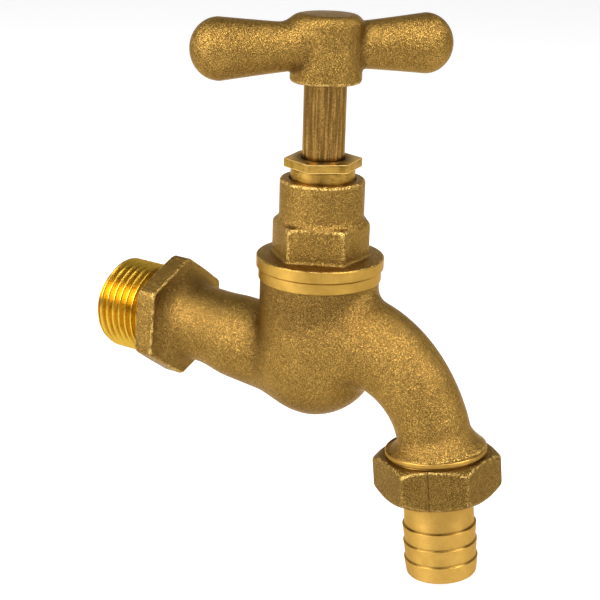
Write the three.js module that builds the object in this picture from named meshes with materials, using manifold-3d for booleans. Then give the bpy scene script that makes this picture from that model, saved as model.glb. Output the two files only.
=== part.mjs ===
// A half-inch brass bib tap (hose bib) with a T-handle and a hose union.
// Millimetres, +Z up. The origin is on the inlet axis, in the plane of the inlet hexagon's
// outer face, where the tap stops against a wall fitting. The inlet thread points along -X,
// the spindle rises along +Z and the spout curves over towards +X.

import * as THREE from 'three';
import { mergeVertices } from 'three/addons/utils/BufferGeometryUtils.js';
import Module from 'manifold-3d';

const wasm = await Module();
wasm.setup();

// ---------------------------------------------------------------- driving dimensions

const GAP = 0.3; // clearance kept between neighbouring pieces
const SIDES = 40; // facets round a full circle
const FINE_SIDES = 24; // facets round a small circle
const DEG = Math.PI / 180;

// G 1/2 pipe thread: 14 threads per inch
const THREAD_R = 20.955 / 2;
const THREAD_PITCH_R = 19.793 / 2;

// Inlet
const INLET_LENGTH = 13.5;
const INLET_BORE_R = 6;
const INLET_HEX_CORNER_R = 13.9;
const INLET_HEX_TURN = 5.5 * DEG; // the top corner leans this much to the back
const INLET_HEX_LENGTH = 4.8;
const SPINDLE_X = 41.2; // from the inlet hexagon's outer face to the spindle axis
const INLET_SINK = 0.3; // the inlet axis lies this much below the datum of the heights that follow

// Cast body
const PIPE_R = 8.6;
const PIPE_DROP = 2.1; // the pipe's axis sinks this much from the hexagon to the spindle axis
const BELLY_R = 7.7; // the bulge under the pipe where it meets the globe
const BELLY_START = 24; // from the spindle axis
const BELLY_DEPTH = 5;
const BELLY_DROP = 3.4;
const GLOBE_R = 12.65;
const GLOBE_Z = -0.9;
const COLLAR_R = 13.48;
const COLLAR_BOTTOM = 16.5;
const COLLAR_TOP = 18.95;
const NECK_BORE_R = 10.5;

// Valve seat
const SEAT_TOP = 5;
const SEAT_BORE_R = 5;
const SEAT_LIP_R = 6.4;
const CHAMBER_R = 9;
const CHAMBER_FLOOR = 3.8;
const UNDER_CHAMBER_R = 8.4;
const UNDER_CHAMBER_TOP = -2.8;
const UNDER_CHAMBER_BOTTOM = -10.8;

// The inlet passage dives under the seat
const DIVE_START = 20; // from the spindle axis
const DIVE_END = 4;
const DIVE_DEPTH = 5;
const DIVE_BORE_R = 4.7;

// Spout: a circular arc in the XZ plane, then a short straight stretch to the outlet rim
const SPOUT_BEND_R = 23;
const SPOUT_CENTRE_X = 7.5; // from the spindle axis
const SPOUT_CENTRE_Z = -17.74;
const SPOUT_TILT = 6.55 * DEG; // the outlet still points this much outwards
const SPOUT_ROOT_R = 9.4;
const SPOUT_R = 7.75;
const SPOUT_BORE_R = 5.6;
const OUTLET_RIM_R = 10.56;
const OUTLET_THREAD_LENGTH = 4; // below the rim

// Bonnet and gland
const BONNET_FLANGE_TOP = 21.6;
const BONNET_HEX_FLAT = 9.6; // axis to the front and back flats
const BONNET_HEX_HALF_FLAT = 5.8;
const BONNET_HEX_SIDE = 10.2; // axis to the two side corners
const BONNET_HEX_TURN = 27.5 * DEG;
const BONNET_HEX_TOP = 29.2;
const BONNET_R = 8.9;
const BONNET_TOP = 38.1;
const BONNET_SKIRT_R = NECK_BORE_R - GAP;
const BONNET_SKIRT_BOTTOM = 10.5;
const GLAND_CHAMBER_R = 7.04;
const GLAND_CHAMBER_FLOOR = 28;
const GLAND_SHANK_R = GLAND_CHAMBER_R - GAP;
const GLAND_SHANK_BOTTOM = 34.7;
const GLAND_HEX_CORNER_R = 8.2;
const GLAND_HEX_BOTTOM = 41;
const GLAND_HEX_TOP = 42.39;
const GLAND_HEX_TURN = 41.7 * DEG;

// Spindle, valve and handle, all shown closed
const STEM_R = 4.4;
const SPINDLE_THREAD_R = 5.6;
const SPINDLE_BOTTOM = 10.5;
const SPINDLE_THREAD_TOP = 19.8;
const LIFT_ROOM_TOP = 25.2; // the threaded foot rises to just below this
const VALVE_POCKET_TOP = 15.8; // the jumper's disc rises to just below this
const TENON_BOTTOM = 58.6;
const TENON_TOP = 69;
const TENON_WIDTH = 5.5;
const JUMPER_DISC_R = 7.2;
const JUMPER_DISC_BOTTOM = 8.6;
const JUMPER_DISC_TOP = 10.2;
const JUMPER_STEM_R = 2.6;
const JUMPER_STEM_TOP = 16.5;
const STUD_R = 1.6;
const STUD_BOTTOM = 2;

const HANDLE_ARM_Z = 65.21;
const HANDLE_TURN = 56 * DEG;
const LONG_ARM = 22.7; // from the spindle axis to the ball's centre
const SHORT_ARM = 21.85; // the casting isn't quite even
const BALL_R = 6.22;
const BALL_FLATTENING = 0.93;
const ARM_ROOT_R = 4.6;
const ARM_ROOT_DISTANCE = 5;
const BOSS_R = 7.35;
const BOSS_BOTTOM = 58.3;
const BOSS_TOP = 71.6;
const BOSS_ROUND = 2.4;

// Hose union: distances below the outlet rim's lower edge, along the outlet axis
const NUT_TOP = 0.25;
const NUT_BOTTOM = 9.2;
const NUT_FLAT = 11.7; // axis to a flat
const NUT_TURN = 27.3 * DEG; // one corner's bearing
const NUT_THREAD_DEPTH = 5.6;
const NUT_LIP_TOP = 7.7;
const NUT_LIP_BORE_R = 7.95;
const TAIL_COLLAR_R = 9.2;
const TAIL_COLLAR_TOP = 5.9;
const TAIL_COLLAR_BOTTOM = 7.4;
const TAIL_NECK_R = 7.33;
const TAIL_RIDGE_R = 7.77;
const TAIL_VALLEY_R = 7.45;
const TAIL_BORE_R = 5.25;
const FIRST_RIDGE = 15.7;
const RIDGE_PITCH = 3.7;
const RIDGE_COUNT = 3;
const TAIL_END = 26.72;
const TAIL_END_R = 7.1;

// ---------------------------------------------------------------- solids

/** The closed mesh of a geometry as a solid, turned so that its faces point out. */
function solid(geometry) {
  const bare = geometry.clone();
  bare.deleteAttribute('normal');
  bare.deleteAttribute('uv');
  const merged = mergeVertices(bare, 1e-4);
  const position = merged.getAttribute('position');
  const corners = Array.from(merged.getIndex().array);
  const a = new THREE.Vector3();
  const b = new THREE.Vector3();
  const c = new THREE.Vector3();
  const triangles = [];
  let volume = 0;
  for (let i = 0; i < corners.length; i += 3) {
    const [p, q, r] = corners.slice(i, i + 3);
    if (p === q || q === r || r === p) continue; // a sliver on the lathe's axis
    triangles.push(p, q, r);
    a.fromBufferAttribute(position, p);
    b.fromBufferAttribute(position, q);
    c.fromBufferAttribute(position, r);
    volume += a.dot(b.cross(c));
  }
  if (volume < 0) triangles.reverse();
  return new wasm.Manifold(new wasm.Mesh({
    numProp: 3,
    vertProperties: new Float32Array(position.array),
    triVerts: new Uint32Array(triangles),
  }));
}

/** A solid back as a geometry. */
function geometryOf(body) {
  const mesh = body.getMesh();
  const geometry = new THREE.BufferGeometry();
  geometry.setAttribute('position', new THREE.BufferAttribute(new Float32Array(mesh.vertProperties), 3));
  geometry.setIndex(new THREE.BufferAttribute(new Uint32Array(mesh.triVerts), 1));
  return geometry;
}

function joined(...solids) {
  return solids.reduce((whole, next) => whole.add(next));
}

/** A solid of revolution about Z from [radius, height] points. */
function turned(points, sides = SIDES) {
  const profile = points.map(([radius, height]) => new THREE.Vector2(radius, height));
  return solid(new THREE.LatheGeometry(profile, sides).rotateX(Math.PI / 2));
}

/** A round bar about Z. */
function bar(radius, bottom, top, sides = SIDES) {
  return turned([[0, bottom], [radius, bottom], [radius, top], [0, top]], sides);
}

/** A ring about Z with a square section. */
function ring(outerR, innerR, bottom, top, sides = SIDES) {
  return turned([
    [innerR, bottom], [outerR, bottom], [outerR, top], [innerR, top], [innerR, bottom],
  ], sides);
}

/** A prism about Z whose outline is a closed polygon of [x, y] corners. */
function prism(corners, bottom, top) {
  const shape = new THREE.Shape(corners.map(([x, y]) => new THREE.Vector2(x, y)));
  const geometry = new THREE.ExtrudeGeometry(shape, { depth: top - bottom, bevelEnabled: false });
  return solid(geometry.translate(0, 0, bottom));
}

/** A regular hexagon's corners, the first one at bearing `turn`. */
function hexagon(cornerR, turn = 0) {
  return Array.from({ length: 6 }, (_, i) => {
    const bearing = turn + i * 60 * DEG;
    return [cornerR * Math.cos(bearing), cornerR * Math.sin(bearing)];
  });
}

/** Points of an arc in a [radius, height] profile. */
function arc(centreR, centreZ, radius, from, to, steps) {
  return Array.from({ length: steps + 1 }, (_, i) => {
    const angle = (from + (to - from) * i / steps) * DEG;
    return [centreR + radius * Math.cos(angle), centreZ + radius * Math.sin(angle)];
  });
}

/** The same solid with its own Z axis laid along -X, so that height becomes distance to the left. */
function alongInlet(body) {
  return body.transform(new THREE.Matrix4().makeRotationY(-Math.PI / 2).toArray());
}

function mesh(name, body, color, roughness = 0.45, metalness = 1) {
  const material = new THREE.MeshStandardMaterial({ color, roughness, metalness });
  const piece = new THREE.Mesh(geometryOf(body), material);
  piece.name = name;
  return piece;
}

const CAST_BRASS = 0xa57d3c;
const BRIGHT_BRASS = 0xdcaf50;
const STEM_BRASS = 0xa3762f;
const FIBRE = 0x7a4a2c;
const GRAPHITE = 0x2c2c2e;
const RUBBER = 0x1c1c1c;

// ---------------------------------------------------------------- spout path

/**
 * Bends a solid that stands along Z so that its axis follows the spout. Distance 0 is the
 * outlet rim's lower edge; positive distances run back up the spout, negative ones beyond it.
 */
function bentAlongSpout(points, sides = SIDES) {
  const profile = points.map(([radius, height]) => new THREE.Vector2(radius, height));
  const geometry = new THREE.LatheGeometry(profile, sides).rotateX(Math.PI / 2);
  const position = geometry.getAttribute('position');
  for (let i = 0; i < position.count; i += 1) {
    const along = Math.max(position.getZ(i), 0);
    const below = Math.min(position.getZ(i), 0);
    const angle = SPOUT_TILT + along / SPOUT_BEND_R;
    const reach = SPOUT_BEND_R + position.getX(i);
    position.setXYZ(
      i,
      SPOUT_CENTRE_X + reach * Math.cos(angle) - below * Math.sin(angle),
      position.getY(i),
      SPOUT_CENTRE_Z + reach * Math.sin(angle) + below * Math.cos(angle),
    );
  }
  return solid(geometry);
}

/** A group whose own -Z axis is the outlet axis and whose origin is at the rim's lower edge. */
function outletGroup() {
  const group = new THREE.Group();
  group.position.set(
    SPOUT_CENTRE_X + SPOUT_BEND_R * Math.cos(SPOUT_TILT),
    0,
    SPOUT_CENTRE_Z + SPOUT_BEND_R * Math.sin(SPOUT_TILT),
  );
  group.rotation.y = -SPOUT_TILT;
  return group;
}

// ---------------------------------------------------------------- tap body

/** Inlet spigot, hexagon and pipe, in the spindle's own frame. */
function inletSolid() {
  const hexOuter = SPINDLE_X;
  const hexInner = hexOuter - INLET_HEX_LENGTH;
  const end = hexOuter + INLET_LENGTH;
  const chamfer = 0.7;
  const relief = 1;
  const spigot = turned([
    [0, hexInner], [THREAD_PITCH_R - 0.6, hexInner], [THREAD_PITCH_R - 0.6, hexOuter + relief],
    [THREAD_R, hexOuter + relief], [THREAD_R, end - chamfer], [THREAD_R - chamfer, end], [0, end],
  ]);
  const corners = hexagon(INLET_HEX_CORNER_R, INLET_HEX_TURN);
  const edge = 0.4;
  const guard = turned([
    [0, hexInner], [INLET_HEX_CORNER_R - edge, hexInner], [INLET_HEX_CORNER_R, hexInner + edge],
    [INLET_HEX_CORNER_R, hexOuter - edge], [INLET_HEX_CORNER_R - edge, hexOuter], [0, hexOuter],
  ]);
  const hex = prism(corners, hexInner, hexOuter).intersect(guard);
  return joined(alongInlet(spigot), alongInlet(hex)).translate([0, 0, -INLET_SINK]);
}

/** A round bar beside the spindle axis, `near` to `far` to its left, that sinks towards it. */
function sinkingBar(radius, near, far, slope, depthAtAxis, sides = SIDES) {
  const level = alongInlet(bar(radius, near, far, sides));
  return level.rotate([0, Math.atan(slope) / DEG, 0]).translate([0, 0, -depthAtAxis]);
}

/** The pipe between the inlet hexagon and the globe; its axis sinks a little. */
function pipeSolid() {
  const length = SPINDLE_X - INLET_HEX_LENGTH + 1;
  return sinkingBar(PIPE_R, 4, length, PIPE_DROP / length, PIPE_DROP + INLET_SINK);
}

/** The bulge that blends the pipe's underside into the globe. */
function bellySolid() {
  return sinkingBar(BELLY_R, 2, BELLY_START, BELLY_DROP / BELLY_START, BELLY_DEPTH);
}

/** Globe and neck: a round-bottomed pot with the bonnet's collar on top. */
function potSolid() {
  return turned([
    ...arc(0, GLOBE_Z, GLOBE_R, -90, 0, 10),
    [GLOBE_R, COLLAR_BOTTOM], [COLLAR_R, COLLAR_BOTTOM], [COLLAR_R, COLLAR_TOP], [0, COLLAR_TOP],
  ]);
}

/** Cast spout, flaring into the machined outlet rim, with the outlet's threaded spigot below. */
function spoutSolid() {
  const rimHeight = 1;
  const flareHeight = 2.6;
  const flare = [];
  for (let i = 0; i <= 5; i += 1) {
    const t = i / 5;
    const radius = OUTLET_RIM_R - (OUTLET_RIM_R - SPOUT_R) * Math.sin(t * 90 * DEG);
    flare.push([radius, rimHeight + flareHeight * (1 - Math.cos(t * 90 * DEG))]);
  }
  const arcLength = SPOUT_BEND_R * (90 * DEG - SPOUT_TILT);
  const rootStart = 17;
  const steps = 9;
  const shaft = [];
  for (let i = 1; i <= steps; i += 1) {
    const height = flare.at(-1)[1] + (arcLength - flare.at(-1)[1]) * i / steps;
    const t = THREE.MathUtils.smoothstep(height, rootStart - 6, arcLength);
    shaft.push([SPOUT_R + (SPOUT_ROOT_R - SPOUT_R) * t, height]);
  }
  const spigotR = THREAD_PITCH_R - GAP / 2;
  return bentAlongSpout([
    [0, -OUTLET_THREAD_LENGTH], [spigotR, -OUTLET_THREAD_LENGTH], [spigotR, 0],
    [OUTLET_RIM_R, 0], ...flare, ...shaft, [0, arcLength],
  ]);
}

/** Everything hollow inside the body: the water's way from inlet to outlet. */
function waterway() {
  const inletEnd = SPINDLE_X + INLET_LENGTH;
  const inletBore = alongInlet(bar(INLET_BORE_R, DIVE_START, inletEnd + 1, FINE_SIDES))
    .translate([0, 0, -INLET_SINK]);
  const midR = 5.2;
  const underChamber = turned([
    [0, UNDER_CHAMBER_BOTTOM], [midR, UNDER_CHAMBER_BOTTOM + 1.2],
    [UNDER_CHAMBER_R, UNDER_CHAMBER_BOTTOM + 5], [UNDER_CHAMBER_R, UNDER_CHAMBER_TOP],
    [0, UNDER_CHAMBER_TOP],
  ], FINE_SIDES);
  const seatBore = bar(SEAT_BORE_R, UNDER_CHAMBER_TOP - 1, SEAT_TOP + 1, FINE_SIDES);
  const chamber = turned([
    [SEAT_LIP_R, CHAMBER_FLOOR], [CHAMBER_R, CHAMBER_FLOOR], [CHAMBER_R, BONNET_SKIRT_BOTTOM - 1],
    [NECK_BORE_R, BONNET_SKIRT_BOTTOM - 1], [NECK_BORE_R, COLLAR_TOP + 1], [0, COLLAR_TOP + 1],
    [0, SEAT_TOP], [SEAT_LIP_R - 0.4, SEAT_TOP], [SEAT_LIP_R, CHAMBER_FLOOR],
  ]);
  const gasketRecess = bar(12, COLLAR_TOP - 1.2, COLLAR_TOP + 1);
  const spoutTop = SPOUT_BEND_R * 62 * DEG;
  const steps = 8;
  const boreWall = Array.from({ length: steps + 1 }, (_, i) => [SPOUT_BORE_R, spoutTop * i / steps]);
  const past = OUTLET_THREAD_LENGTH + 1;
  const spoutBore = bentAlongSpout([[0, -past], [SPOUT_BORE_R, -past], ...boreWall, [0, spoutTop]],
    FINE_SIDES);
  const diveSlope = DIVE_DEPTH / (DIVE_START - DIVE_END);
  const dive = sinkingBar(DIVE_BORE_R, DIVE_END, DIVE_START + 2, diveSlope, DIVE_DEPTH + 0.6, FINE_SIDES);
  return joined(inletBore, dive, underChamber, seatBore, chamber, gasketRecess, spoutBore);
}

function tapBody() {
  const outside = joined(inletSolid(), pipeSolid(), bellySolid(), potSolid(), spoutSolid());
  return mesh('tap_body', outside.subtract(waterway()), CAST_BRASS);
}

// ---------------------------------------------------------------- bonnet and gland

/** The bonnet's hexagon, cast a little wide: two long flats and four shorter ones. */
function bonnetHexagon() {
  return [
    [BONNET_HEX_HALF_FLAT, BONNET_HEX_FLAT], [-BONNET_HEX_HALF_FLAT, BONNET_HEX_FLAT],
    [-BONNET_HEX_SIDE, 0], [-BONNET_HEX_HALF_FLAT, -BONNET_HEX_FLAT],
    [BONNET_HEX_HALF_FLAT, -BONNET_HEX_FLAT], [BONNET_HEX_SIDE, 0],
  ];
}

function bonnet() {
  const flangeBottom = COLLAR_TOP + GAP;
  const shoulder = BONNET_FLANGE_TOP + 0.5;
  const rounding = 0.8;
  const hex = prism(bonnetHexagon(), BONNET_FLANGE_TOP, BONNET_HEX_TOP)
    .rotate([0, 0, BONNET_HEX_TURN / DEG]);
  const shell = turned([
    [0, BONNET_SKIRT_BOTTOM], [BONNET_SKIRT_R, BONNET_SKIRT_BOTTOM], [BONNET_SKIRT_R, flangeBottom],
    [COLLAR_R, flangeBottom], [COLLAR_R, BONNET_FLANGE_TOP], [BONNET_R + 0.5, shoulder],
    [BONNET_R, shoulder + 1], [BONNET_R, BONNET_TOP - rounding], [BONNET_R - rounding, BONNET_TOP],
    [0, BONNET_TOP],
  ]);
  const below = BONNET_SKIRT_BOTTOM - 1;
  const pocketR = 7.9;
  const spindleNutR = SPINDLE_THREAD_R + GAP;
  const hollow = turned([
    [0, below], [pocketR, below], [pocketR, VALVE_POCKET_TOP], [spindleNutR, VALVE_POCKET_TOP],
    [spindleNutR, LIFT_ROOM_TOP], [STEM_R + GAP, LIFT_ROOM_TOP],
    [STEM_R + GAP, GLAND_CHAMBER_FLOOR], [GLAND_CHAMBER_R, GLAND_CHAMBER_FLOOR],
    [GLAND_CHAMBER_R, BONNET_TOP + 1], [0, BONNET_TOP + 1],
  ]);
  return mesh('bonnet', joined(shell, hex).subtract(hollow), CAST_BRASS);
}

function bonnetGasket() {
  const bottom = COLLAR_TOP - 0.9;
  return mesh('bonnet_gasket', ring(11.7, BONNET_SKIRT_R + GAP, bottom, COLLAR_TOP), FIBRE, 0.9, 0);
}

/** The stack in the gland chamber, from its floor up: [name, thickness, colour, roughness, metalness]. */
const GLAND_STACK = [
  ['packing_washer', 0.8, BRIGHT_BRASS, 0.4, 1],
  ['packing_ring_lower', 1.8, GRAPHITE, 0.8, 0],
  ['packing_ring_upper', 1.8, GRAPHITE, 0.8, 0],
  ['gland_follower', 0.8, BRIGHT_BRASS, 0.4, 1],
];

function glandStack() {
  const pieces = [];
  let bottom = GLAND_CHAMBER_FLOOR + GAP;
  for (const [name, thickness, color, roughness, metalness] of GLAND_STACK) {
    const body = ring(GLAND_SHANK_R, STEM_R + GAP, bottom, bottom + thickness, FINE_SIDES);
    pieces.push(mesh(name, body, color, roughness, metalness));
    bottom += thickness + GAP;
  }
  return pieces;
}

function glandNut() {
  const shank = bar(GLAND_SHANK_R, GLAND_SHANK_BOTTOM, GLAND_HEX_BOTTOM + 0.5);
  const hex = prism(hexagon(GLAND_HEX_CORNER_R, GLAND_HEX_TURN), GLAND_HEX_BOTTOM, GLAND_HEX_TOP);
  const bore = bar(STEM_R + GAP, GLAND_SHANK_BOTTOM - 1, GLAND_HEX_TOP + 1);
  return mesh('gland_nut', joined(shank, hex).subtract(bore), BRIGHT_BRASS, 0.35);
}

// ---------------------------------------------------------------- spindle, valve and handle

function spindle() {
  const stem = turned([
    [0, SPINDLE_BOTTOM], [SPINDLE_THREAD_R, SPINDLE_BOTTOM], [SPINDLE_THREAD_R, SPINDLE_THREAD_TOP],
    [STEM_R, SPINDLE_THREAD_TOP], [STEM_R, TENON_BOTTOM], [0, TENON_BOTTOM],
  ]);
  const half = TENON_WIDTH / 2;
  const square = [[half, half], [-half, half], [-half, -half], [half, -half]];
  const tenon = prism(square, TENON_BOTTOM - 0.5, TENON_TOP).rotate([0, 0, HANDLE_TURN / DEG]);
  const socket = bar(JUMPER_STEM_R + GAP, SPINDLE_BOTTOM - 1, JUMPER_STEM_TOP + 2 * GAP, FINE_SIDES);
  return mesh('spindle', joined(stem, tenon).subtract(socket), STEM_BRASS);
}

/** The jumper: a disc with a guide stem above and a threaded stud below. */
function jumperValve() {
  const body = turned([
    [0, STUD_BOTTOM], [STUD_R, STUD_BOTTOM], [STUD_R, JUMPER_DISC_BOTTOM],
    [JUMPER_DISC_R, JUMPER_DISC_BOTTOM], [JUMPER_DISC_R, JUMPER_DISC_TOP],
    [JUMPER_STEM_R, JUMPER_DISC_TOP], [JUMPER_STEM_R, JUMPER_STEM_TOP], [0, JUMPER_STEM_TOP],
  ], FINE_SIDES);
  return mesh('jumper_valve', body, BRIGHT_BRASS, 0.35);
}

function seatWasher() {
  const body = ring(JUMPER_DISC_R - 0.2, STUD_R + GAP, SEAT_TOP + GAP, JUMPER_DISC_BOTTOM - GAP, FINE_SIDES);
  return mesh('seat_washer', body, RUBBER, 0.85, 0);
}

function washerNut() {
  const top = SEAT_TOP;
  const body = prism(hexagon(3.7), top - 2.4, top);
  const hole = bar(STUD_R + GAP, top - 4, top + 1, FINE_SIDES);
  return mesh('washer_nut', body.subtract(hole), BRIGHT_BRASS, 0.35);
}

/** One arm along Z: it swells towards a ball whose end is a little flattened. */
function handleArm(length) {
  const ball = arc(0, 0, BALL_R, -6, 90, 7);
  const end = ball.map(([radius, height]) => [radius, length + height * BALL_FLATTENING]);
  return turned([[0, 0], [ARM_ROOT_R, 0], [ARM_ROOT_R, ARM_ROOT_DISTANCE], ...end], FINE_SIDES);
}

/** Boss with rounded rims, two tapering arms with ball ends, and a blind square socket. */
function handle() {
  const boss = turned([
    [0, BOSS_BOTTOM], [BOSS_R - 0.7, BOSS_BOTTOM], [BOSS_R, BOSS_BOTTOM + 0.7],
    ...arc(BOSS_R - BOSS_ROUND, BOSS_TOP - BOSS_ROUND, BOSS_ROUND, 0, 90, 4), [0, BOSS_TOP],
  ]);
  const arms = joined(
    handleArm(SHORT_ARM).rotate([0, 90, 0]),
    handleArm(LONG_ARM).rotate([0, -90, 0]),
  ).translate([0, 0, HANDLE_ARM_Z]);
  const half = TENON_WIDTH / 2 + GAP;
  const square = [[half, half], [-half, half], [-half, -half], [half, -half]];
  const socket = prism(square, BOSS_BOTTOM - 1, TENON_TOP + GAP);
  const counterbore = bar(STEM_R + GAP, BOSS_BOTTOM - 1, TENON_BOTTOM + GAP);
  const body = joined(boss, arms).subtract(joined(socket, counterbore));
  return mesh('t_handle', body.rotate([0, 0, HANDLE_TURN / DEG]), CAST_BRASS);
}

// ---------------------------------------------------------------- hose union

/** Hexagon nut with chamfered corners, an inner thread and a lip under the tail's collar. */
function unionNut() {
  const cornerR = NUT_FLAT / Math.cos(30 * DEG);
  const roundedR = cornerR - 0.3;
  const hex = prism(hexagon(cornerR, NUT_TURN), -NUT_BOTTOM, -NUT_TOP);
  const guard = turned([
    [0, -NUT_BOTTOM], [NUT_FLAT - 1, -NUT_BOTTOM], [roundedR, -NUT_BOTTOM + 2.1],
    [roundedR, -NUT_TOP - 1], [NUT_FLAT - 0.1, -NUT_TOP], [0, -NUT_TOP],
  ]);
  const threadR = THREAD_PITCH_R + GAP / 2;
  const hollow = turned([
    [0, -NUT_BOTTOM - 1], [NUT_LIP_BORE_R, -NUT_BOTTOM - 1], [NUT_LIP_BORE_R, -NUT_LIP_TOP],
    [TAIL_COLLAR_R + GAP, -NUT_LIP_TOP], [TAIL_COLLAR_R + GAP, -NUT_THREAD_DEPTH],
    [threadR, -NUT_THREAD_DEPTH], [threadR, -NUT_TOP - 0.4], [threadR + 0.4, -NUT_TOP],
    [threadR + 0.4, -NUT_TOP + 1], [0, -NUT_TOP + 1],
  ]);
  return mesh('union_nut', hex.intersect(guard).subtract(hollow), CAST_BRASS);
}

/** Barbed tail: each ridge has a steep shoulder towards the nut and tapers towards the end. */
function hoseTail() {
  const shoulder = 0.7;
  const barbs = [];
  for (let i = 0; i < RIDGE_COUNT; i += 1) {
    const crest = FIRST_RIDGE + i * RIDGE_PITCH;
    barbs.push([i === 0 ? TAIL_NECK_R : TAIL_VALLEY_R, -crest + shoulder], [TAIL_RIDGE_R, -crest]);
  }
  const outside = [
    [TAIL_COLLAR_R, -TAIL_COLLAR_TOP], [TAIL_COLLAR_R, -TAIL_COLLAR_BOTTOM],
    [TAIL_NECK_R, -TAIL_COLLAR_BOTTOM], ...barbs, [TAIL_VALLEY_R, -TAIL_END + 0.5],
    [TAIL_END_R, -TAIL_END],
  ];
  const bore = [[TAIL_BORE_R, -TAIL_END], [TAIL_BORE_R, -TAIL_COLLAR_TOP]];
  return mesh('hose_tail', turned([...outside, ...bore, outside[0]]), BRIGHT_BRASS, 0.3);
}

function hoseTailGasket() {
  const top = -OUTLET_THREAD_LENGTH - GAP;
  const body = ring(TAIL_COLLAR_R, SPOUT_BORE_R, -TAIL_COLLAR_TOP + GAP, top, FINE_SIDES);
  return mesh('hose_tail_gasket', body, RUBBER, 0.85, 0);
}

// ---------------------------------------------------------------- assembly

const union = outletGroup();
union.add(unionNut(), hoseTail(), hoseTailGasket());

const headwork = new THREE.Group();
headwork.add(bonnet(), bonnetGasket(), ...glandStack(), glandNut());
headwork.add(spindle(), handle(), jumperValve(), seatWasher(), washerNut());

const hoseBib = new THREE.Group();
hoseBib.add(tapBody(), headwork, union);
hoseBib.position.set(SPINDLE_X, 0, INLET_SINK);

export default hoseBib;
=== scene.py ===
"""Looks of a half-inch brass hose bib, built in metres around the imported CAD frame.

Cast pieces are smooth unions of distance fields, meshed as surface nets and joined to
turned, threaded and milled meshes by booleans. Sizes below are millimetres in the tap's
own frame: the spindle axis is Z and heights are measured from the CAD's datum.
"""
import math

import bmesh
import bpy
import numpy as np
from mathutils import Matrix, Vector


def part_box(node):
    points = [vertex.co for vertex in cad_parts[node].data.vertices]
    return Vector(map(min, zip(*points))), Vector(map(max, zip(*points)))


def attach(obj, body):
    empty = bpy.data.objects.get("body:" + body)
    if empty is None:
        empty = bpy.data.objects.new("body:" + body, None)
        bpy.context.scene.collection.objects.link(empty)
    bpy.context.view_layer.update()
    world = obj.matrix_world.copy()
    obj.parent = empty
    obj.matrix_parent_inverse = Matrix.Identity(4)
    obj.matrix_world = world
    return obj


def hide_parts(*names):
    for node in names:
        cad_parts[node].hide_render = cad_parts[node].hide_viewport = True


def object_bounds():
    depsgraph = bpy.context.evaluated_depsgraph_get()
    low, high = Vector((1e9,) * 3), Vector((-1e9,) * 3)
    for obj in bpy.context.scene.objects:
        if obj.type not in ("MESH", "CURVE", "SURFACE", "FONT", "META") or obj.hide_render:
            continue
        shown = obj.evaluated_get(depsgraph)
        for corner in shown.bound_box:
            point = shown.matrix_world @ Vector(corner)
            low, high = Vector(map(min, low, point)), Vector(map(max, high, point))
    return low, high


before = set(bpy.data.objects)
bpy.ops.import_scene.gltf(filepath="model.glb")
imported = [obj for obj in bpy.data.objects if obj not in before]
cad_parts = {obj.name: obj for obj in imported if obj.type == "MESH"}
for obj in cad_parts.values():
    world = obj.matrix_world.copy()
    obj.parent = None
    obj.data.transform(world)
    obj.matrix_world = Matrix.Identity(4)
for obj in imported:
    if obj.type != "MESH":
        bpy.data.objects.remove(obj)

CAD_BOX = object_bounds()
MM = 0.001

# ---------------------------------------------------------------- driving dimensions, mm

SPINDLE_BOTTOM, SPINDLE_THREAD_TOP, SPINDLE_THREAD_R, STEM_R = 10.5, 19.8, 5.6, 4.4
TENON_BOTTOM, TENON_TOP, TENON_WIDTH = 58.6, 69.0, 5.5
JUMPER_STEM_R, JUMPER_STEM_TOP = 2.6, 16.5
GAP, SNUG = 0.3, 0.1

INLET_X, INLET_Z, INLET_LENGTH, INLET_BORE_R = -41.2, -0.3, 13.5, 6.0
INLET_HEX_CORNER_R, INLET_HEX_LENGTH, INLET_HEX_TURN = 13.9, 4.8, math.radians(5.5)
THREAD_R, THREAD_PITCH_R, THREAD_PITCH = 10.4775, 9.8965, 25.4 / 14

PIPE_R, PIPE_DROP = 8.6, 2.1
BELLY_R, BELLY_START, BELLY_DEPTH, BELLY_DROP = 7.7, 24.0, 5.0, 3.4
GLOBE_R, GLOBE_Z = 12.65, -0.9
COLLAR_R, COLLAR_BOTTOM, COLLAR_TOP = 13.0, 16.5, 19.0
BEND_R, BEND_X, BEND_Z, TILT = 23.0, 7.5, -17.74, math.radians(6.55)
SPOUT_R, SPOUT_BORE_R, RIM_R, RIM_HEIGHT, FLARE_HEIGHT = 7.73, 5.6, 10.56, 1.0, 3.3
OUTLET_THREAD_LENGTH = 4.0
CHAMBER_R, CHAMBER_FLOOR, NECK_BORE_R = 9.0, 3.8, 10.5
SEAT_TOP, SEAT_LIP_R, SEAT_BORE_R = 5.0, 6.4, 5.0
UNDER_BOTTOM, UNDER_TOP, UNDER_R = -10.8, -2.8, 8.4

FLANGE_R, FLANGE_BOTTOM, FLANGE_TOP, BONNET_R, BONNET_TOP = 13.48, 19.14, 21.6, 8.9, 38.1
BONNET_HEX_FLAT, BONNET_HEX_HALF, BONNET_HEX_SIDE = 9.65, 5.85, 10.45
BONNET_HEX_TOP, BONNET_HEX_TURN = 29.2, math.radians(27.5)
SKIRT_R, SKIRT_BOTTOM = 10.2, 10.5
GLAND_CHAMBER_R, GLAND_CHAMBER_FLOOR = 7.04, 28.0
GLAND_R, GLAND_BOTTOM, GLAND_HEX_R = 6.74, 34.7, 8.2
GLAND_HEX_BOTTOM, GLAND_HEX_TOP, GLAND_HEX_TURN = 40.45, 42.33, math.radians(41.7)

ARM_Z, HANDLE_TURN = 65.21, math.radians(56)
LONG_ARM, SHORT_ARM, BALL_R, BALL_FLATTENING = 22.7, 21.85, 6.22, 0.93
ARM_ROOT_R, ARM_ROOT = 4.6, 5.0
BOSS_R, BOSS_BOTTOM, BOSS_TOP, BOSS_ROUND = 7.35, 57.9, 71.6, 2.2

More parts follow.
